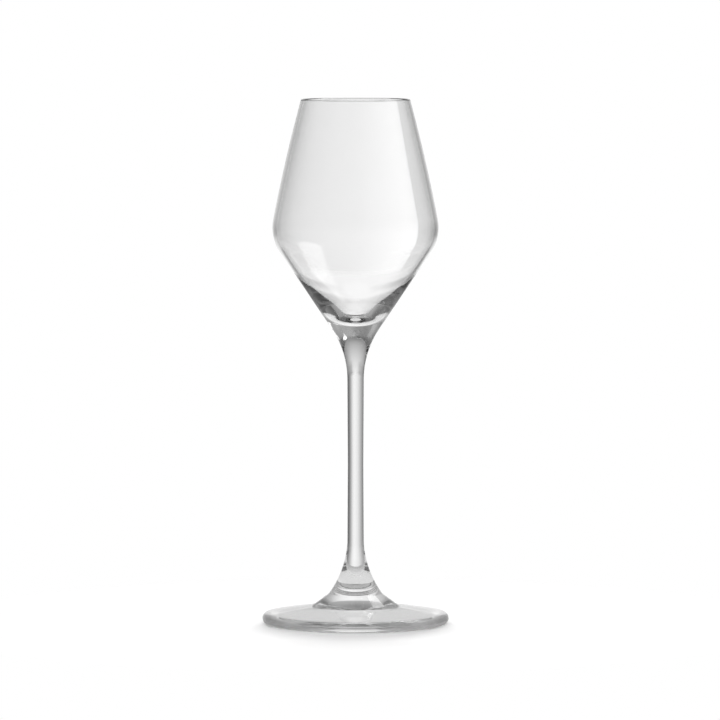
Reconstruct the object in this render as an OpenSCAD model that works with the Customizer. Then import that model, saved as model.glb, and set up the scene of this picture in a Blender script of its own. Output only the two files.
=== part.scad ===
// Sherry glass: a thin blown bowl, a drawn stem and a pressed foot, hot-fused end to end.
// Millimetres, +Z up, standing on z = 0 with its axis on the Z axis.

/* [Bowl] */
// Height of the bowl, from its weld on the stem to the rim
bowl_h = 82.9; // [70:0.1:100]
// Outer diameter of the rim
rim_d = 39.6; // [34:0.1:46]
// Outer diameter of the belly, the widest place
belly_d = 60; // [54:0.1:70]
// Height of the belly above the weld
belly_h = 36.6; // [32:0.1:42]
// Radius of the belly's turn, outside
belly_r = 16; // [8:0.1:20]
// Lean of the wall where it leaves the belly, from upright, in degrees
wall_lean = 11; // [6:0.1:16]
// Thickness of the thin wall, from the belly down to the base
wall = 1.35; // [0.8:0.05:2]
// Thickness of the fire-polished lip
lip = 1; // [0.7:0.05:1.6]
// Height above the weld at which the inside turns from the thin wall to the thicker base
base_h = 14.8; // [13:0.1:19]
// Radius of that slow turn
base_turn_r = 66; // [30:1:75]
// Radius of the rounded bottom of the well
well_r = 11.2; // [9.5:0.1:12.5]
// Thickness of the glass under the well, down to the weld
base_t = 3.3; // [2:0.1:4.5]

/* [Stem] */
// Length of the stem between its two welds
stem_l = 96; // [70:0.5:130]
// Diameter at the waist, the thinnest place
waist_d = 5.6; // [4.5:0.05:9]
// Height of the waist above the lower weld
waist_h = 47; // [35:0.5:60]
// Lean of the stem where its flares begin, from upright, in degrees
stem_lean = 0.65; // [0.3:0.05:1.5]
// Lean of the lower flare at its weld, from upright, in degrees
flare_lean = 36.5; // [30:0.1:42]
// Diameter of the upper weld, where the stem runs on into the bowl
bowl_weld_d = 17.2; // [13:0.1:22]

/* [Foot] */
// Diameter of the foot
foot_d = 67.5; // [58:0.1:80]
// Thickness of the foot's rounded edge
edge_t = 3.95; // [2.5:0.05:5]
// Height of the disc's top face where the boss stands on it
disc_h = 6.5; // [5.5:0.1:7.5]
// Diameter of the boss where it stands on the disc
boss_d = 31; // [26:0.1:38]
// Radius of the blend between the boss and the disc
boss_blend = 5; // [1:0.1:8]
// Height of the lower weld, on top of the boss
foot_h = 10.8; // [9.5:0.1:13]
// Diameter of the lower weld, where the stem stands on the boss
foot_weld_d = 19.4; // [16:0.1:22]
// Width of the flat ring that stands on the table
ring_w = 1.2; // [1:0.1:4]
// Depth of the bell-shaped hollow under the foot
hollow_h = 4.9; // [2:0.1:5.5]
// Steepness of the bell: 1 for a plain dome, more for a narrower bell
hollow_bell = 1.4; // [1:0.05:2]

/* [Hidden] */
glass = [0.9, 0.92, 0.92, 0.4];
// Largest turn of an outline between two of its points, in degrees
arc_step = 2.5;
// Points on a long, slightly bowed wall
wall_points = 16;
// Points on the hollow under the foot
bell_points = 32;
$fn = 128;

stem_z = foot_h;
bowl_z = stem_z + stem_l;

bowl_weld_r = bowl_weld_d / 2;
foot_weld_r = foot_weld_d / 2;

// Outside of the bowl, with heights above its weld
belly_centre = [belly_d / 2 - belly_r, belly_h];
// Lean of the lower wall: the tangent from the weld's edge to the belly's turn
cone_lean = tangent_lean([bowl_weld_r, 0], belly_centre, belly_r);

// Inside of the bowl: the corner where the thin wall would meet the straight flank of the base
base_corner = [bowl_weld_r + base_h * tan(cone_lean) - wall / cos(cone_lean), base_h];
well_centre = [0, base_t + well_r];
flank_lean = tangent_lean(well_centre, base_corner, -well_r);

// Foot
foot_r = foot_d / 2;
edge_r = edge_t / 2;
edge_centre = [foot_r - edge_r, edge_r];
ring_r = foot_r - edge_r - ring_w;

// Lean from upright of the line that leaves p upwards and touches the far side of a circle
function tangent_lean(p, centre, r) =
    let (d = centre - p)
    atan2(d[0], d[1]) + asin(r / norm(d));

// Points of a circular arc from angle a to angle b, counted from the radial direction
function arc(centre, r, a, b) =
    let (n = ceil(abs(b - a) / arc_step))
    [for (i = [0:n]) let (t = a + (b - a) * i / n) centre + r * [cos(t), sin(t)]];

// Points of a slightly bowed wall that leaves p at a lean from upright and ends at q
function bowed_wall(p, lean, q) =
    let (mid = p + norm(q - p) / 2 * [-sin(lean), cos(lean)])
    [for (i = [1:wall_points])
        let (t = i / wall_points)
        (1 - t) * (1 - t) * p + 2 * t * (1 - t) * mid + t * t * q];

// Radii of the two arcs that run, upright at the waist, out to a weld: the long waist arc turns
// to the lean a, and the flare turns on to the lean b, over a run of dr outwards and dz along
function stem_radii(a, b, dr, dz) =
    let (
        waist_out = 1 - cos(a),
        waist_up = sin(a),
        flare_out = cos(a) - cos(b),
        flare_up = sin(b) - sin(a),
        det = waist_out * flare_up - flare_out * waist_up
    )
    [(dr * flare_up - flare_out * dz) / det, (waist_out * dz - waist_up * dr) / det];

// Half of the stem's outline, from the waist to a weld, as [radius, distance from the waist]
function half_stem(b, weld_r, dz) =
    let (
        a = stem_lean,
        r0 = waist_d / 2,
        r = stem_radii(a, b, weld_r - r0, dz),
        joint = [r0 + r[0] * (1 - cos(a)), r[0] * sin(a)],
        centre = joint + r[1] * [cos(a), -sin(a)],
        flare = arc(centre, r[1], 180 - a, 180 - b)
    )
    concat([[r0, 0], joint], [for (i = [1:len(flare) - 1]) flare[i]]);

// Points of a fillet of radius r at the corner q between the points p and s
function fillet(p, q, s, r) =
    let (
        u = (p - q) / norm(p - q),
        v = (s - q) / norm(s - q),
        half = acos(u * v) / 2,
        centre = q + (u + v) / norm(u + v) * r / sin(half),
        start = q + u * r / tan(half) - centre,
        end = q + v * r / tan(half) - centre
    )
    arc(centre, r, atan2(start[1], start[0]), atan2(end[1], end[0]));

function lift(points, z) = [for (p = points) p + [0, z]];
function reversed(points) = [for (i = [len(points) - 1:-1:0]) points[i]];

// Outside of the bowl, from the weld up to the lip
function bowl_outside() =
    let (
        turn = arc(belly_centre, belly_r, -cone_lean, wall_lean),
        rim = [rim_d / 2, bowl_h - lip / 2]
    )
    concat([[bowl_weld_r, 0]], turn, bowed_wall(turn[len(turn) - 1], wall_lean, rim));

// Inside of the bowl, from the bottom of the well up to the lip
function bowl_inside() =
    let (
        bottom = arc(well_centre, well_r, -90, -flank_lean),
        turn = arc(belly_centre, belly_r - wall, -cone_lean, wall_lean),
        base = fillet(bottom[len(bottom) - 1], base_corner, turn[0], base_turn_r),
        rim = [rim_d / 2 - lip, bowl_h - lip / 2]
    )
    concat(bottom, base, turn, bowed_wall(turn[len(turn) - 1], wall_lean, rim));

// Hollow under the foot, from its top on the axis out to the standing ring
function foot_hollow() =
    [for (i = [0:bell_points])
        let (t = i / bell_points)
        [ring_r * t, hollow_h * pow(1 - t * t, hollow_bell)]];

module revolve(points) {
    color(glass)
        rotate_extrude()
            polygon(points);
}

// Blown bowl: a long lip-to-belly taper over a steep cone, with a thick base under the well
module bowl() {
    rim_centre = [rim_d / 2 - lip / 2, bowl_h - lip / 2];
    lip_round = arc(rim_centre, lip / 2, 0, 180);
    lip_top = [for (i = [1:len(lip_round) - 2]) lip_round[i]];
    outline = concat([[0, 0]], bowl_outside(), lip_top, reversed(bowl_inside()));
    revolve(lift(outline, bowl_z));
}

// Drawn stem: a faint waist between two flares, the upper one in line with the bowl's cone
module stem() {
    upper = half_stem(cone_lean, bowl_weld_r, stem_l - waist_h);
    lower = half_stem(flare_lean, foot_weld_r, waist_h);
    below = reversed([for (i = [1:len(lower) - 1]) [lower[i][0], -lower[i][1]]]);
    outline = lift(concat(below, upper), waist_h);
    revolve(lift(concat([[0, 0]], outline, [[0, stem_l]]), stem_z));
}

// Pressed foot: a sloping disc with a round edge, a low conical boss and a hollow underside
module foot() {
    weld = [foot_weld_r, foot_h];
    corner = [boss_d / 2, disc_h];
    to_edge = edge_centre - corner;
    fall = atan2(-to_edge[1], to_edge[0]) - asin(edge_r / norm(to_edge));
    edge = arc(edge_centre, edge_r, -90, 90 - fall);
    blend = fillet(edge[len(edge) - 1], corner, weld, boss_blend);
    revolve(concat(foot_hollow(), edge, blend, [weld, [0, foot_h]]));
}

bowl();
stem();
foot();
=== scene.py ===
# Sherry glass: a blown bowl, a drawn stem and a pressed foot, fused end to end.
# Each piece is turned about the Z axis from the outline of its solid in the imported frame.
# Metres, +Z up, the glass stands on z = 0.

import math

import bmesh
import bpy
from bpy.props import FloatProperty, FloatVectorProperty, IntProperty, PointerProperty
from mathutils import Matrix, Vector


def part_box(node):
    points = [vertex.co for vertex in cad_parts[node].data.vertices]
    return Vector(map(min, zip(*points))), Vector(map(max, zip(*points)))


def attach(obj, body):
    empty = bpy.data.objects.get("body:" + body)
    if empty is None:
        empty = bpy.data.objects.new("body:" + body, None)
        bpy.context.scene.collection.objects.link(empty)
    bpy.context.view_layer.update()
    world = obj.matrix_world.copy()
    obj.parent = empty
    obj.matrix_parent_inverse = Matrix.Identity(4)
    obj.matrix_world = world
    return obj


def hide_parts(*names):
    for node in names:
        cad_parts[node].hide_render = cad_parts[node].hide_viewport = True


bl_info = {
    "name": "Sherry glass",
    "version": (1, 0, 0),
    "blender": (4, 5, 0),
    "location": "3D View > Sidebar > Sherry glass",
    "description": "Builds a stemmed sherry glass over its packed solids, in a studio of its own",
    "category": "Add Mesh",
}

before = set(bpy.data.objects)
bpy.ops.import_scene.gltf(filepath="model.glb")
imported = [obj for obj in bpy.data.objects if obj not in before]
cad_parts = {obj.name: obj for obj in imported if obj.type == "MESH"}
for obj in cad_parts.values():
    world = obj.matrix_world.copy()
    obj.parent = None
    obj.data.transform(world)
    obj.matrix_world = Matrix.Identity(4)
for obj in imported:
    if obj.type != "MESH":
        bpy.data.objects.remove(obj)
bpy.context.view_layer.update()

MM = 0.001
# Two points nearer than this are one point
SAME = 1e-6
# Side of the square picture, in pixels
IMAGE_SIDE = 720
# Width of the camera's sensor in millimetres, and how far the camera sees in metres
SENSOR_WIDTH = 36
SIGHT = 100
# Sockets of a Mix node that mixes colours
MIX_SHARE, MIX_FROM, MIX_TO, MIX_RESULT = 0, 6, 7, 2

STEM_LOW, STEM_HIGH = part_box("stem")
FOOT_WELD_Z = STEM_LOW.z
BOWL_WELD_Z = STEM_HIGH.z
# The lip of the bowl is painted darker from this height up, a painted shade, which comes in over
# this much
LIP_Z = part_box("bowl")[1].z - 0.4 * MM
LIP_BLEND = 0.2 * MM

# The studio that the glass shows. Angles are degrees from straight behind the glass, to the
# right, and each has the radiance of the cloth there. The first values came from a fit to the
# tones of the photograph by a separate program, and were then rounded and changed by hand.
# Level with the glass: a bright backdrop between dark flags
BACKDROP = (
    (-180, 0.05),
    (-120, 0.2),
    (-60, 0.3),
    (-30, 0.38),
    (-17, 0.45),
    (-13, 0.66),
    (-6, 0.83),
    (-3, 0.92),
    (0, 1.04),
    (1.5, 1.17),
    (3, 1.25),
    (8, 1.15),
    (13, 0.85),
    (17, 0.5),
    (22, 0.45),
    (35, 0.36),
    (60, 0.15),
    (110, 0.05),
    (180, 0.05),
)
# A thin grey sheet hangs over its right part, with its edge between these two angles, and lets
# this much through
SHEET = (4, 4.1, 0.73)
# Between these two heights, in degrees, the backdrop gets this much brighter downwards
LIFT = (-3, -8, 1.15)
# It ends between these two heights, and the tent below it is this dark
BACKDROP_END = (-7.6, -8.2)
UNDER_BACKDROP = 0.05
# A little higher the backdrop is dimmer
UPPER = (
    (-180, 0.05),
    (-60, 0.2),
    (-35, 0.44),
    (-18, 0.58),
    (-8, 0.84),
    (4, 0.88),
    (12, 0.82),
    (18, 0.55),
    (30, 0.4),
    (40, 0.35),
    (60, 0.2),
    (110, 0.05),
    (180, 0.05),
)
# Higher still it is wider
HIGH = (
    (-180, 0.05),
    (-60, 0.3),
    (-35, 0.6),
    (-20, 0.74),
    (-8, 0.84),
    (4, 0.88),
    (14, 0.84),
    (25, 0.66),
    (40, 0.4),
    (60, 0.2),
    (110, 0.05),
    (180, 0.05),
)
# Overhead: a grey roof, paler on the right
ROOF = (
    (-180, 0.15),
    (-110, 0.1),
    (-50, 0.25),
    (0, 0.3),
    (60, 0.45),
    (100, 0.3),
    (140, 0.15),
    (180, 0.15),
)
# Each of these takes over from what is below it between two heights, in degrees
ABOVE_BACKDROP = ((UPPER, -2, 5), (HIGH, 7, 13), (ROOF, 4, 40))
# Softboxes: name, angle, height and roll in degrees, width and depth in metres, radiance, and
# whether it is seen through the glass. The small one only glints on the outside.
SOFTBOXES = (
    ("Softbox", 75, 47, 45, 2.1, 1.5, 2.0, True),
    ("Small softbox", 36, 54, 0, 1.3, 1.2, 3.6, False),
)
# A softbox fades out between these two distances from its middle, in shares of its width
SOFTBOX_FADE = (0.35, 0.5)
# Low down: a card that is white in the middle and dark at both ends
CARD = (
    (-180, 0.17),
    (-70, 0.17),
    (-52, 0.38),
    (-38, 0.46),
    (-29, 0.6),
    (-20, 0.78),
    (-10, 1),
    (0, 1.1),
    (4, 1.14),
    (12, 1.05),
    (18, 0.85),
    (24, 0.6),
    (32, 0.4),
    (45, 0.2),
    (55, 0.17),
    (180, 0.17),
)
# A grey film close behind the stem lets this much of the card through
FILM = 0.87
# Card and film reach this far round the axis to each side, in this many flat strips
ARC = math.radians(105)
STRIPS = 84
# They fade out upwards from these shares of their heights
CARD_FADE = 0.8
FILM_FADE = 0.94
# Two round, level shelves of grey film behind the stem, left and right, let this much through
# downwards
SHELF = 0.55
# Where the right one hangs: to the right of the axis, behind it and above the floor
SHELF_PLACE = (58 * MM, 75 * MM, 100 * MM)
# A shelf is even out to its core, and fades out from there to its edge
SHELF_CORE = 20 * MM
SHELF_RADIUS = 55 * MM
# Light on the floor: a soft dome, and low behind the glass a band, by height in degrees
DOME = 0.8
BAND = ((0, 0), (3.5, 0), (5, 90), (12, 75), (15, 0), (90, 0))
# Where the middle of the band is, and the cosines to it at which the band is gone and full
BAND_TOWARDS = (0.05, 0.99, 0)
BAND_SPREAD = (0.85, 0.97)
# To the camera, the floor fades out between these shares of its radius
FLOOR_FADE = (0.15, 0.4)
# To the glass, the paper glows with a painted shadow of the foot: it goes from one radiance to
# another between two radii under the edge of the foot, and ends between the next two
PAPER_TURN = (26 * MM, 31 * MM)
PAINTED_PAPER_SHADOW = (0.76, 0.47)
PAPER_END = (36 * MM, 40 * MM)


def linear(hex_colour):
    """RGBA in linear light from an sRGB hex colour."""
    values = [int(hex_colour[i : i + 2], 16) / 255 for i in (1, 3, 5)]
    return [v / 12.92 if v <= 0.04045 else ((v + 0.055) / 1.055) ** 2.4 for v in values] + [1.0]


def add_node(tree, kind, inputs=None, **settings):
    """A new node with its settings, and its inputs set or linked."""
    node = tree.nodes.new(kind)
    for name, value in settings.items():
        setattr(node, name, value)
    for key, value in (inputs or {}).items():
        if isinstance(value, bpy.types.NodeSocket):
            tree.links.new(value, node.inputs[key])
        else:
            node.inputs[key].default_value = value
    return node


def new_material(name):
    material = bpy.data.materials.new(name)
    material.use_nodes = True
    material.node_tree.nodes.clear()
    return material


class GlassSettings(bpy.types.PropertyGroup):
    """What a user would change on the glass."""

    segments: IntProperty(
        name="Segments",
        description="Faces round the axis of each piece",
        default=192,
        min=48,
        max=256,
    )
    crease: FloatProperty(
        name="Crease angle",
        description="Edges that turn more than this stay sharp",
        subtype="ANGLE",
        default=math.radians(12),
    )
    tint: FloatVectorProperty(
        name="Tint",
        description="Colour that one surface of the glass lets through",
        subtype="COLOR",
        size=4,
        default=linear("#FEFEFE"),
    )
    # Painted shade: a grey painted on the lip for the dark line that the depth of the wall shows
    # there
    lip_painted_shade: FloatVectorProperty(
        name="Lip painted shade",
        description="Colour of the lip, which shows the depth of the wall below it",
        subtype="COLOR",
        size=4,
        default=linear("#C0C0C0"),
    )
    ior: FloatProperty(
        name="Index",
        description="Refractive index of soda-lime glass",
        default=1.52,
        min=1.45,
        max=1.7,
    )


class StudioSettings(bpy.types.PropertyGroup):
    """What a user would change on the studio and the camera."""

    floor_radius: FloatProperty(
        name="Floor radius",
        description="Radius of the round pale floor, and of the card that stands on its edge",
        unit="LENGTH",
        default=0.4,
    )
    floor_colour: FloatVectorProperty(
        name="Floor colour",
        description="Colour of the pale floor",
        subtype="COLOR",
        size=4,
        default=linear("#F3F3F3"),
    )
    tent_radius: FloatProperty(
        name="Tent radius",
        description="Radius of the light tent that the glass shows",
        unit="LENGTH",
        default=6,
    )
    card_height: FloatProperty(
        name="Card height",
        description="How far the card behind the glass stands above the floor",
        unit="LENGTH",
        default=0.1,
    )
    card_depth: FloatProperty(
        name="Card depth",
        description="How far the card runs on below the floor",
        unit="LENGTH",
        default=0.6,
    )
    film_radius: FloatProperty(
        name="Film radius",
        description="How far behind the stem the grey film stands",
        unit="LENGTH",
        default=0.06,
    )
    film_height: FloatProperty(
        name="Film height",
        description="How far the grey film stands above the floor",
        unit="LENGTH",
        default=0.094,
    )
    softbox_distance: FloatProperty(
        name="Softbox distance",
        description="From the axis of the glass to the softboxes",
        unit="LENGTH",
        default=3,
    )
    distance: FloatProperty(
        name="Camera distance",
        description="From the camera to the axis of the glass",
        unit="LENGTH",
        default=2.27,
    )
    elevation: FloatProperty(
        name="Camera elevation",
        description="Angle of the view below the horizon",
        subtype="ANGLE",
        default=math.radians(3.9),
    )
    aim_height: FloatProperty(
        name="Aim height",
        description="Height on the glass that is in the middle of the picture",
        unit="LENGTH",
        default=95.5 * MM,
    )
    aim_side: FloatProperty(
        name="Aim to the side",
        description="How far right of the axis the middle of the picture is",
        unit="LENGTH",
        default=1.6 * MM,
    )
    pixel: FloatProperty(
        name="Pixel",
        description="Size of one pixel of the picture, measured at the axis",
        unit="LENGTH",
        default=0.3613 * MM,
    )


def meridian(node_name):
    """Outline of a solid in the half plane y = 0, x >= 0, from its lower pole to its upper one."""
    bm = bmesh.new()
    bm.from_mesh(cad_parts[node_name].data)
    bmesh.ops.remove_doubles(bm, verts=bm.verts, dist=SAME)
    on_plane = [v for v in bm.verts if abs(v.co.y) < SAME and v.co.x > -SAME]
    near = {
        v: [e.other_vert(v) for e in v.link_edges if e.other_vert(v) in on_plane]
        for v in on_plane
    }
    ends = [v for v in on_plane if len(near[v]) == 1]
    if len(ends) != 2:
        raise RuntimeError(f"the outline of {node_name} has {len(ends)} ends")
    chain = [min(ends, key=lambda v: v.co.z)]
    while len(chain) == 1 or chain[-1] not in ends:
        chain.append(next(v for v in near[chain[-1]] if v not in chain[-2:]))
    points = [Vector((max(v.co.x, 0), 0, v.co.z)) for v in chain]
    bm.free()
    # A flat end face has no point on the axis
    if points[0].x > SAME:
        points.insert(0, Vector((0, 0, points[0].z)))
    if points[-1].x > SAME:
        points.append(Vector((0, 0, points[-1].z)))
    return points


def turned_tree():
    """Geometry nodes that turn an outline about the Z axis into a closed body of glass."""
    tree = bpy.data.node_groups.new("Turned glass", "GeometryNodeTree")
    tree.is_modifier = True
    for name, kind in (
        ("Outline", "NodeSocketGeometry"),
        ("Segments", "NodeSocketInt"),
        ("Crease angle", "NodeSocketFloat"),
        ("Foot weld height", "NodeSocketFloat"),
        ("Bowl weld height", "NodeSocketFloat"),
        ("Glass", "NodeSocketMaterial"),
        ("Fused weld", "NodeSocketMaterial"),
    ):
        tree.interface.new_socket(name, in_out="INPUT", socket_type=kind)
    tree.interface.new_socket("Body", in_out="OUTPUT", socket_type="NodeSocketGeometry")
    given = add_node(tree, "NodeGroupInput").outputs

    # A grid with a row for each point of the outline, and a column for each turn
    count = add_node(tree, "GeometryNodeAttributeDomainSize", {0: given["Outline"]})
    columns = add_node(tree, "ShaderNodeMath", {0: given["Segments"], 1: 1}, operation="ADD")
    grid = add_node(
        tree,
        "GeometryNodeMeshGrid",
        {
            "Size X": 1,
            "Size Y": 1,
            "Vertices X": columns.outputs[0],
            "Vertices Y": count.outputs["Point Count"],
        },
    )
    position = add_node(tree, "GeometryNodeInputPosition")
    place = add_node(tree, "ShaderNodeSeparateXYZ", {0: position.outputs[0]})
    turn = add_node(
        tree,
        "ShaderNodeMapRange",
        {"Value": place.outputs["X"], "From Min": -0.5, "From Max": 0.5, "To Max": math.tau},
    )
    last = add_node(
        tree, "ShaderNodeMath", {0: count.outputs["Point Count"], 1: 1}, operation="SUBTRACT"
    )
    row = add_node(
        tree,
        "ShaderNodeMapRange",
        {"Value": place.outputs["Y"], "From Min": -0.5, "From Max": 0.5, "To Max": last.outputs[0]},
    )
    index = add_node(
        tree, "FunctionNodeFloatToInt", {0: row.outputs[0]}, rounding_mode="ROUND"
    )
    point = add_node(
        tree,
        "GeometryNodeSampleIndex",
        {"Geometry": given["Outline"], "Index": index.outputs[0]},
        data_type="FLOAT_VECTOR",
        domain="POINT",
    )
    tree.links.new(position.outputs[0], point.inputs["Value"])
    turned = add_node(
        tree,
        "ShaderNodeVectorRotate",
        {"Vector": point.outputs[0], "Angle": turn.outputs[0]},
        rotation_type="Z_AXIS",
    )
    lathed = add_node(
        tree,
        "GeometryNodeSetPosition",
        {"Geometry": grid.outputs["Mesh"], "Position": turned.outputs[0]},
    )
    closed = add_node(
        tree, "GeometryNodeMergeByDistance", {"Geometry": lathed.outputs[0], "Distance": SAME}
    )

    # Smooth, but for the edges that turn sharply
    smooth = add_node(tree, "GeometryNodeSetShadeSmooth", {0: closed.outputs[0]}, domain="FACE")
    bend = add_node(tree, "GeometryNodeInputMeshEdgeAngle")
    soft = add_node(
        tree,
        "FunctionNodeCompare",
        {0: bend.outputs["Unsigned Angle"], 1: given["Crease angle"]},
        data_type="FLOAT",
        operation="LESS_THAN",
    )
    creased = add_node(
        tree,
        "GeometryNodeSetShadeSmooth",
        {0: smooth.outputs[0], "Shade Smooth": soft.outputs[0]},
        domain="EDGE",
    )

    # The flat faces at the two welds, where the glass runs on into the next piece
    at_welds = [
        add_node(
            tree,
            "ShaderNodeMath",
            {0: place.outputs["Z"], 1: given[name], 2: SAME},
            operation="COMPARE",
        )
        for name in ("Foot weld height", "Bowl weld height")
    ]
    welds = add_node(
        tree,
        "ShaderNodeMath",
        {0: at_welds[0].outputs[0], 1: at_welds[1].outputs[0]},
        operation="MAXIMUM",
    )
    real = add_node(tree, "GeometryNodeRealizeInstances", {0: creased.outputs[0]})
    glass = add_node(
        tree, "GeometryNodeSetMaterial", {0: real.outputs[0], "Material": given["Glass"]}
    )
    fused = add_node(
        tree,
        "GeometryNodeSetMaterial",
        {0: glass.outputs[0], "Selection": welds.outputs[0], "Material": given["Fused weld"]},
    )
    add_node(tree, "NodeGroupOutput", {0: fused.outputs[0]})
    return tree


def turn_piece(node_name, piece_name, glass):
    """A closed body of glass that stands for one solid."""
    settings = bpy.context.scene.sherry_glass
    points = meridian(node_name)
    outline = bpy.data.meshes.new(f"{node_name} outline")
    outline.from_pydata(points, [(i, i + 1) for i in range(len(points) - 1)], [])
    lathe = bpy.data.objects.new(f"{node_name} lathe", outline)
    bpy.context.scene.collection.objects.link(lathe)
    tree = bpy.data.node_groups.get("Turned glass") or turned_tree()
    modifier = lathe.modifiers.new("Turned glass", "NODES")
    modifier.node_group = tree
    identifiers = {
        item.name: item.identifier for item in tree.interface.items_tree if item.in_out == "INPUT"
    }
    for name, value in (
        ("Segments", settings.segments),
        ("Crease angle", settings.crease),
        ("Foot weld height", FOOT_WELD_Z),
        ("Bowl weld height", BOWL_WELD_Z),
        ("Glass", glass),
        ("Fused weld", fused_weld()),
    ):
        modifier[identifiers[name]] = value

    evaluated = lathe.evaluated_get(bpy.context.evaluated_depsgraph_get())
    mesh = bpy.data.meshes.new_from_object(evaluated)
    mesh.name = piece_name
    bpy.data.objects.remove(lathe)
    check_closed(mesh)
    piece = bpy.data.objects.new(piece_name, mesh)
    bpy.context.scene.collection.objects.link(piece)
    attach(piece, "root")
    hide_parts(node_name)


def check_closed(mesh):
    """Stops the script where a body of glass is open or inside out."""
    bm = bmesh.new()
    bm.from_mesh(mesh)
    edges = sum(not e.is_manifold for e in bm.edges)
    volume = bm.calc_volume(signed=True)
    bm.free()
    if edges or volume <= 0:
        raise RuntimeError(f"{mesh.name} has {edges} open edges and a volume of {volume}")


def fused_weld():
    """Fused weld: the glass runs on through it, so it shows nothing and bends no light."""
    name = "Fused weld inside the glass"
    if name in bpy.data.materials:
        return bpy.data.materials[name]
    material = new_material(name)
    tree = material.node_tree
    clear = add_node(tree, "ShaderNodeBsdfTransparent", {"Color": (1, 1, 1, 1)})
    add_node(tree, "ShaderNodeOutputMaterial", {"Surface": clear.outputs[0]})
    return material


def soda_lime_glass(name, ripple, depth, stretch, lip=None):
    """Clear soda-lime glass whose surface keeps a faint ripple from how it was made.

    ripple is the size of a ripple and depth its height, in metres; stretch draws the ripples
    out along the axis. lip is the height from which a painted shade darkens the lip, if there is
    one.
    """
    settings = bpy.context.scene.sherry_glass
    material = new_material(name)
    tree = material.node_tree
    coordinates = add_node(tree, "ShaderNodeTexCoord")
    drawn = add_node(
        tree,
        "ShaderNodeMapping",
        {"Vector": coordinates.outputs["Object"], "Scale": (1, 1, 1 / stretch)},
    )
    noise = add_node(
        tree,
        "ShaderNodeTexNoise",
        {"Vector": drawn.outputs[0], "Scale": 1 / ripple, "Detail": 1, "Roughness": 0.4},
    )
    bump = add_node(
        tree, "ShaderNodeBump", {"Strength": 1, "Distance": depth, "Height": noise.outputs["Fac"]}
    )
    colour = settings.tint
    # Painted shade: from the height lip up, the colour turns to the darker lip grey
    if lip is not None:
        part = add_node(tree, "ShaderNodeSeparateXYZ", {0: coordinates.outputs["Object"]})
        share = add_node(
            tree,
            "ShaderNodeMapRange",
            {"Value": part.outputs["Z"], "From Min": lip, "From Max": lip + LIP_BLEND},
        )
        colour = add_node(
            tree,
            "ShaderNodeMix",
            {MIX_SHARE: share.outputs[0], MIX_FROM: settings.tint, MIX_TO: settings.lip_painted_shade},
            data_type="RGBA",
        ).outputs[MIX_RESULT]
    shader = add_node(
        tree,
        "ShaderNodeBsdfPrincipled",
        {
            "Base Color": colour,
            "Roughness": 0,
            "IOR": settings.ior,
            "Transmission Weight": 1,
            "Normal": bump.outputs[0],
        },
    )
    add_node(tree, "ShaderNodeOutputMaterial", {"Surface": shader.outputs[0]})
    return material


class SHERRY_OT_blow_bowl(bpy.types.Operator):
    """Blow the bowl"""

    bl_idname = "sherry.blow_bowl"
    bl_label = "Bowl"

    def execute(self, context):
        # Blown and fire-polished: bright and even, with a slow wave left by the blowing, and a
        # lip painted darker: painted shade for the dark line that the eye sees down the depth of
        # the wall
        glass = soda_lime_glass(
            "Blown soda-lime glass", ripple=18 * MM, depth=0.004 * MM, stretch=1, lip=LIP_Z
        )
        turn_piece("bowl", "Blown_bowl", glass)
        return {"FINISHED"}


class SHERRY_OT_draw_stem(bpy.types.Operator):
    """Draw the stem"""

    bl_idname = "sherry.draw_stem"
    bl_label = "Stem"

    def execute(self, context):
        # Drawn from the hot glass: ripples pulled out into long cords along the stem
        glass = soda_lime_glass(
            "Drawn soda-lime glass", ripple=4 * MM, depth=0.004 * MM, stretch=12
        )
        turn_piece("stem", "Drawn_stem", glass)
        return {"FINISHED"}


class SHERRY_OT_press_foot(bpy.types.Operator):
    """Press the foot"""

    bl_idname = "sherry.press_foot"
    bl_label = "Foot"

    def execute(self, context):
        # Pressed: the chill of the tool leaves a faint close ripple
        glass = soda_lime_glass(
            "Pressed soda-lime glass", ripple=9 * MM, depth=0.005 * MM, stretch=1
        )
        turn_piece("foot", "Pressed_foot", glass)
        return {"FINISHED"}


class SHERRY_OT_set_stage(bpy.types.Operator):
    """Set up the floor, the light and the camera"""

    bl_idname = "sherry.set_stage"
    bl_label = "Stage"

    def execute(self, context):
        scene = context.scene
        scene.view_settings.view_transform = "Standard"
        # Light crosses many surfaces of clear glass before it leaves
        scene.cycles.max_bounces = 32
        scene.cycles.transmission_bounces = 24
        scene.cycles.glossy_bounces = 16
        scene.cycles.transparent_max_bounces = 32
        white_world(scene)
        camera = aim_camera(scene)
        light_tent(scene, camera)
        pale_floor(scene)
        return {"FINISHED"}


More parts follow.
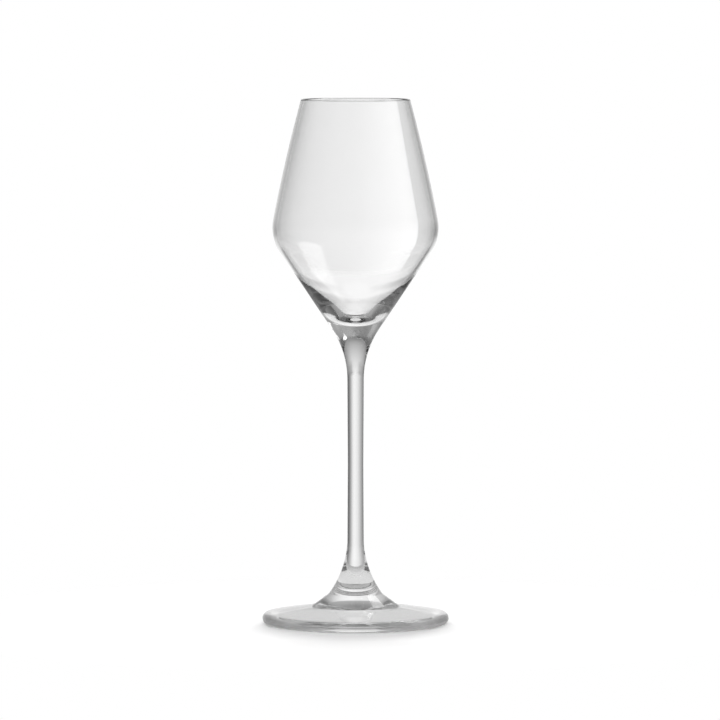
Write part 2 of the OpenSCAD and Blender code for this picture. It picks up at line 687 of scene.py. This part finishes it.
def white_world(scene):
    """White behind everything, and over the floor a dome of light with a band low behind."""
    world = bpy.data.worlds.new("White studio")
    scene.world = world
    world.use_nodes = True
    tree = world.node_tree
    tree.nodes.clear()
    ray = add_node(tree, "ShaderNodeLightPath")
    coordinates = add_node(tree, "ShaderNodeTexCoord")
    part = add_node(tree, "ShaderNodeSeparateXYZ", {0: coordinates.outputs["Generated"]})
    height = add_node(tree, "ShaderNodeMath", {0: part.outputs["Z"]}, operation="ARCSINE")
    share = add_node(
        tree, "ShaderNodeMapRange", {"Value": height.outputs[0], "From Max": math.pi / 2}
    )
    band = ramp(tree, share.outputs[0], [(angle / 90, radiance) for angle, radiance in BAND])
    towards = add_node(
        tree,
        "ShaderNodeVectorMath",
        {0: coordinates.outputs["Generated"], 1: BAND_TOWARDS},
        operation="DOT_PRODUCT",
    )
    gone, full = BAND_SPREAD
    behind = add_node(
        tree,
        "ShaderNodeMapRange",
        {"Value": towards.outputs["Value"], "From Min": gone, "From Max": full},
    )
    level = add_node(
        tree,
        "ShaderNodeMath",
        {0: behind.outputs[0], 1: band, 2: DOME},
        operation="MULTIPLY_ADD",
    )
    dome = add_node(
        tree, "ShaderNodeBackground", {"Color": (1, 1, 1, 1), "Strength": level.outputs[0]}
    )
    white = add_node(tree, "ShaderNodeBackground", {"Color": (1, 1, 1, 1), "Strength": 1})
    shown = add_node(
        tree,
        "ShaderNodeMixShader",
        {0: ray.outputs["Is Camera Ray"], 1: dome.outputs[0], 2: white.outputs[0]},
    )
    add_node(tree, "ShaderNodeOutputWorld", {"Surface": shown.outputs[0]})


def aim_camera(scene):
    """The camera, at the picture's angle and scale."""
    studio = scene.sherry_studio
    lens = bpy.data.cameras.new("Camera")
    lens.sensor_width = SENSOR_WIDTH
    lens.lens = SENSOR_WIDTH * studio.distance / (studio.pixel * IMAGE_SIDE)
    lens.clip_end = SIGHT
    camera = bpy.data.objects.new("Camera", lens)
    rise, back = math.sin(studio.elevation), math.cos(studio.elevation)
    camera.location = (
        studio.aim_side,
        -studio.distance * back,
        studio.aim_height + studio.distance * rise,
    )
    camera.rotation_euler = (math.pi / 2 - studio.elevation, 0, 0)
    scene.collection.objects.link(camera)
    scene.camera = camera
    return camera


def hang(camera, name, bm, material):
    """A part of the set that only the glass shows, and that turns with the camera."""
    mesh = bpy.data.meshes.new(name)
    bm.to_mesh(mesh)
    bm.free()
    mesh.materials.append(material)
    part = bpy.data.objects.new(name, mesh)
    bpy.context.scene.collection.objects.link(part)
    part.visible_camera = False
    part.visible_diffuse = False
    part.visible_shadow = False
    bpy.context.view_layer.update()
    part.parent = camera
    part.matrix_parent_inverse = camera.matrix_world.inverted()
    return part


def light_tent(scene, camera):
    """A graded tent, and in it a card, a film and shelves behind the glass, and softboxes."""
    studio = scene.sherry_studio
    bm = bmesh.new()
    bmesh.ops.create_uvsphere(bm, u_segments=64, v_segments=32, radius=studio.tent_radius)
    hang(camera, "Light tent", bm, tent_cloth())

    card = half_round(studio.floor_radius, -studio.card_depth, studio.card_height)
    cloth = graded_cloth("Card", CARD)
    fade_upwards(cloth, CARD_FADE * studio.card_height, studio.card_height)
    hang(camera, "Low card", card, cloth)
    film = half_round(studio.film_radius, -studio.card_depth, studio.film_height)
    grey = grey_film()
    fade_upwards(grey, FILM_FADE * studio.film_height, studio.film_height)
    hang(camera, "Grey film", film, grey)
    hang(camera, "Grey shelves", level_shelves(), shelf_film())

    for name, angle, height, roll, width, depth, radiance, seen_through in SOFTBOXES:
        bm = bmesh.new()
        bm.loops.layers.uv.new("Cloth")
        bmesh.ops.create_grid(bm, x_segments=1, y_segments=1, size=0.5, calc_uvs=True)
        place = (
            Matrix.Rotation(math.radians(-angle), 4, "Z")
            @ Matrix.Rotation(math.radians(height), 4, "X")
            @ Matrix.Translation((0, studio.softbox_distance, 0))
            @ Matrix.Rotation(math.radians(-roll), 4, "Y")
            @ Matrix.Rotation(math.pi / 2, 4, "X")
            @ Matrix.Diagonal((width, depth, 1, 1))
        )
        bmesh.ops.transform(bm, matrix=place, verts=bm.verts)
        box = hang(camera, name, bm, softbox_cloth(f"{name} cloth", radiance))
        box.visible_transmission = seen_through


def half_round(radius, low, high):
    """Mesh of a sheet that stands in a little over half a circle behind the glass."""
    bm = bmesh.new()
    angles = [ARC * (2 * i / STRIPS - 1) for i in range(STRIPS + 1)]
    bottom, top = (
        [bm.verts.new((radius * math.sin(a), radius * math.cos(a), z)) for a in angles]
        for z in (low, high)
    )
    for i in range(STRIPS):
        bm.faces.new((bottom[i], bottom[i + 1], top[i + 1], top[i]))
    return bm


def level_shelves():
    """Mesh of two level discs, left and right behind the glass, facing up."""
    bm = bmesh.new()
    x, y, z = SHELF_PLACE
    for side in (-1, 1):
        place = Matrix.Translation((side * x, y, z))
        bmesh.ops.create_circle(bm, cap_ends=True, segments=48, radius=SHELF_RADIUS, matrix=place)
    return bm


def azimuth(tree):
    """Direction round the axis, from straight behind the glass to the right."""
    coordinates = add_node(tree, "ShaderNodeTexCoord")
    part = add_node(tree, "ShaderNodeSeparateXYZ", {0: coordinates.outputs["Object"]})
    return add_node(
        tree, "ShaderNodeMath", {0: part.outputs["X"], 1: part.outputs["Y"]}, operation="ARCTAN2"
    ).outputs[0]


def ring(tree, stops):
    """Grey that follows the direction round the axis through its stops."""
    around = add_node(
        tree,
        "ShaderNodeMapRange",
        {"Value": azimuth(tree), "From Min": -math.pi, "From Max": math.pi},
    )
    return ramp(
        tree, around.outputs[0], [((angle + 180) / 360, radiance) for angle, radiance in stops]
    )


def ramp(tree, value, stops):
    """Grey that follows a value from 0 to 1 through its stops."""
    node = add_node(tree, "ShaderNodeValToRGB", {0: value})
    elements = node.color_ramp.elements
    elements.remove(elements[-1])
    for i, (position, radiance) in enumerate(stops):
        stop = elements.new(position) if i else elements[0]
        stop.position = position
        stop.color = (radiance, radiance, radiance, 1)
    return node.outputs["Color"]


def graded_cloth(name, stops):
    """Cloth lit from behind: even light that changes slowly round the axis."""
    material = new_material(name)
    tree = material.node_tree
    light = add_node(tree, "ShaderNodeEmission", {"Color": ring(tree, stops), "Strength": 1})
    add_node(tree, "ShaderNodeOutputMaterial", {"Surface": light.outputs[0]})
    return material


def softbox_cloth(name, radiance):
    """Softbox cloth: even in the middle, and it fades out towards its frame."""
    material = new_material(name)
    tree = material.node_tree
    coordinates = add_node(tree, "ShaderNodeTexCoord")
    from_middle = add_node(
        tree,
        "ShaderNodeVectorMath",
        {0: coordinates.outputs["UV"], 1: (0.5, 0.5, 0)},
        operation="DISTANCE",
    )
    start, end = SOFTBOX_FADE
    fade = add_node(
        tree,
        "ShaderNodeMapRange",
        {"Value": from_middle.outputs["Value"], "From Min": start, "From Max": end},
    )
    light = add_node(tree, "ShaderNodeEmission", {"Color": (1, 1, 1, 1), "Strength": radiance})
    gone = add_node(tree, "ShaderNodeBsdfTransparent")
    shown = add_node(
        tree, "ShaderNodeMixShader", {0: fade.outputs[0], 1: light.outputs[0], 2: gone.outputs[0]}
    )
    add_node(tree, "ShaderNodeOutputMaterial", {"Surface": shown.outputs[0]})
    return material


def grey_film():
    """Film that takes a little of the light that comes through it."""
    material = new_material("Grey film")
    tree = material.node_tree
    film = add_node(tree, "ShaderNodeBsdfTransparent", {"Color": (FILM, FILM, FILM, 1)})
    add_node(tree, "ShaderNodeOutputMaterial", {"Surface": film.outputs[0]})
    return material


def shelf_film():
    """Film that takes light from what looks down through it, and is clear from below."""
    material = new_material("Shelf film")
    tree = material.node_tree
    coordinates = add_node(tree, "ShaderNodeTexCoord")
    either_side = add_node(
        tree, "ShaderNodeVectorMath", {0: coordinates.outputs["Object"]}, operation="ABSOLUTE"
    )
    from_middle = add_node(
        tree,
        "ShaderNodeVectorMath",
        {0: either_side.outputs[0], 1: SHELF_PLACE},
        operation="DISTANCE",
    )
    down = add_node(
        tree,
        "ShaderNodeMapRange",
        {
            "Value": from_middle.outputs["Value"],
            "From Min": SHELF_CORE,
            "From Max": SHELF_RADIUS,
            "To Min": SHELF,
        },
        interpolation_type="SMOOTHSTEP",
    )
    geometry = add_node(tree, "ShaderNodeNewGeometry")
    through = add_node(
        tree,
        "ShaderNodeMapRange",
        {"Value": geometry.outputs["Backfacing"], "To Min": down.outputs[0]},
    )
    film = add_node(tree, "ShaderNodeBsdfTransparent", {"Color": through.outputs[0]})
    add_node(tree, "ShaderNodeOutputMaterial", {"Surface": film.outputs[0]})
    return material


def fade_upwards(material, start, end):
    """Makes a material fade out upwards, between two heights."""
    tree = material.node_tree
    out = next(n for n in tree.nodes if n.type == "OUTPUT_MATERIAL")
    solid = out.inputs["Surface"].links[0].from_socket
    coordinates = add_node(tree, "ShaderNodeTexCoord")
    part = add_node(tree, "ShaderNodeSeparateXYZ", {0: coordinates.outputs["Object"]})
    fade = add_node(
        tree,
        "ShaderNodeMapRange",
        {"Value": part.outputs["Z"], "From Min": start, "From Max": end},
    )
    gone = add_node(tree, "ShaderNodeBsdfTransparent")
    shown = add_node(
        tree, "ShaderNodeMixShader", {0: fade.outputs[0], 1: solid, 2: gone.outputs[0]}
    )
    tree.links.new(shown.outputs[0], out.inputs["Surface"])


def tent_cloth():
    """Tent cloth: the backdrop with its sheet, upwards the roof, and the dark tent below."""
    material = graded_cloth("Tent cloth", BACKDROP)
    tree = material.node_tree
    light = next(n for n in tree.nodes if n.type == "EMISSION")
    level = light.inputs["Color"].links[0].from_socket
    coordinates = add_node(tree, "ShaderNodeTexCoord")
    direction = add_node(
        tree, "ShaderNodeVectorMath", {0: coordinates.outputs["Object"]}, operation="NORMALIZE"
    )
    part = add_node(tree, "ShaderNodeSeparateXYZ", {0: direction.outputs[0]})
    height = add_node(tree, "ShaderNodeMath", {0: part.outputs["Z"]}, operation="ARCSINE")
    start, end, through = SHEET
    sheet = add_node(
        tree,
        "ShaderNodeMapRange",
        {
            "Value": azimuth(tree),
            "From Min": math.radians(start),
            "From Max": math.radians(end),
            "To Min": 1,
            "To Max": through,
        },
    )
    level = add_node(
        tree, "ShaderNodeVectorMath", {0: level, "Scale": sheet.outputs[0]}, operation="SCALE"
    ).outputs[0]
    for stops, start, end in ABOVE_BACKDROP:
        above = add_node(
            tree,
            "ShaderNodeMapRange",
            {
                "Value": height.outputs[0],
                "From Min": math.radians(start),
                "From Max": math.radians(end),
            },
        )
        level = add_node(
            tree,
            "ShaderNodeMix",
            {MIX_SHARE: above.outputs[0], MIX_FROM: level, MIX_TO: ring(tree, stops)},
            data_type="RGBA",
        ).outputs[MIX_RESULT]
    start, end, brighter = LIFT
    lift = add_node(
        tree,
        "ShaderNodeMapRange",
        {
            "Value": height.outputs[0],
            "From Min": math.radians(start),
            "From Max": math.radians(end),
            "To Min": 1,
            "To Max": brighter,
        },
    )
    lifted = add_node(
        tree, "ShaderNodeVectorMath", {0: level, "Scale": lift.outputs[0]}, operation="SCALE"
    )
    start, end = BACKDROP_END
    below = add_node(
        tree,
        "ShaderNodeMapRange",
        {
            "Value": height.outputs[0],
            "From Min": math.radians(start),
            "From Max": math.radians(end),
        },
    )
    dark = (UNDER_BACKDROP, UNDER_BACKDROP, UNDER_BACKDROP, 1)
    ended = add_node(
        tree,
        "ShaderNodeMix",
        {MIX_SHARE: below.outputs[0], MIX_FROM: lifted.outputs[0], MIX_TO: dark},
        data_type="RGBA",
    )
    tree.links.new(ended.outputs[MIX_RESULT], light.inputs["Color"])
    return material


def pale_floor(scene):
    """A round pale floor that fades out into the white."""
    studio = scene.sherry_studio
    bm = bmesh.new()
    bmesh.ops.create_circle(bm, cap_ends=True, segments=96, radius=studio.floor_radius)
    mesh = bpy.data.meshes.new("Pale floor")
    bm.to_mesh(mesh)
    bm.free()
    floor = bpy.data.objects.new("Pale floor", mesh)
    scene.collection.objects.link(floor)
    material = new_material("Matt white paper")
    mesh.materials.append(material)
    tree = material.node_tree
    ray = add_node(tree, "ShaderNodeLightPath")
    coordinates = add_node(tree, "ShaderNodeTexCoord")
    from_axis = add_node(
        tree, "ShaderNodeVectorMath", {0: coordinates.outputs["Object"]}, operation="LENGTH"
    )
    # To the camera: white paper with the shadow of the glass, out to where it fades
    matt = add_node(tree, "ShaderNodeBsdfDiffuse", {"Color": studio.floor_colour})
    start, end = (share * studio.floor_radius for share in FLOOR_FADE)
    fade = add_node(
        tree,
        "ShaderNodeMapRange",
        {"Value": from_axis.outputs["Value"], "From Min": start, "From Max": end},
    )
    gone = add_node(tree, "ShaderNodeBsdfTransparent")
    seen = add_node(
        tree, "ShaderNodeMixShader", {0: fade.outputs[0], 1: matt.outputs[0], 2: gone.outputs[0]}
    )
    # To the glass: the paper glows, with a painted shadow that is dim under the foot and dimmer at
    # its edge, and beyond it the card
    start, end = PAPER_TURN
    inside, outside = PAINTED_PAPER_SHADOW
    near = add_node(
        tree,
        "ShaderNodeMapRange",
        {
            "Value": from_axis.outputs["Value"],
            "From Min": start,
            "From Max": end,
            "To Min": inside,
            "To Max": outside,
        },
    )
    paper = add_node(tree, "ShaderNodeEmission", {"Color": near.outputs[0], "Strength": 1})
    start, end = PAPER_END
    far = add_node(
        tree,
        "ShaderNodeMapRange",
        {"Value": from_axis.outputs["Value"], "From Min": start, "From Max": end},
    )
    shown = add_node(
        tree, "ShaderNodeMixShader", {0: far.outputs[0], 1: paper.outputs[0], 2: gone.outputs[0]}
    )
    both = add_node(
        tree,
        "ShaderNodeMixShader",
        {0: ray.outputs["Is Camera Ray"], 1: shown.outputs[0], 2: seen.outputs[0]},
    )
    add_node(tree, "ShaderNodeOutputMaterial", {"Surface": both.outputs[0]})


class SHERRY_PT_panel(bpy.types.Panel):
    """Sidebar panel with the pieces and their settings"""

    bl_idname = "SHERRY_PT_panel"
    bl_label = "Sherry glass"
    bl_space_type = "VIEW_3D"
    bl_region_type = "UI"
    bl_category = "Sherry glass"

    def draw(self, context):
        layout = self.layout
        for settings in (context.scene.sherry_glass, context.scene.sherry_studio):
            column = layout.column(align=True)
            for name in settings.__annotations__:
                column.prop(settings, name)
        column = layout.column(align=True)
        for operator in OPERATORS:
            column.operator(operator.bl_idname)


OPERATORS = (
    SHERRY_OT_blow_bowl,
    SHERRY_OT_draw_stem,
    SHERRY_OT_press_foot,
    SHERRY_OT_set_stage,
)
CLASSES = (GlassSettings, StudioSettings, *OPERATORS, SHERRY_PT_panel)


def register():
    for cls in CLASSES:
        bpy.utils.register_class(cls)
    bpy.types.Scene.sherry_glass = PointerProperty(type=GlassSettings)
    bpy.types.Scene.sherry_studio = PointerProperty(type=StudioSettings)


def unregister():
    del bpy.types.Scene.sherry_studio
    del bpy.types.Scene.sherry_glass
    for cls in reversed(CLASSES):
        bpy.utils.unregister_class(cls)


def main():
    register()
    bpy.ops.sherry.blow_bowl()
    bpy.ops.sherry.draw_stem()
    bpy.ops.sherry.press_foot()
    bpy.ops.sherry.set_stage()


if __name__ == "__main__":
    main()
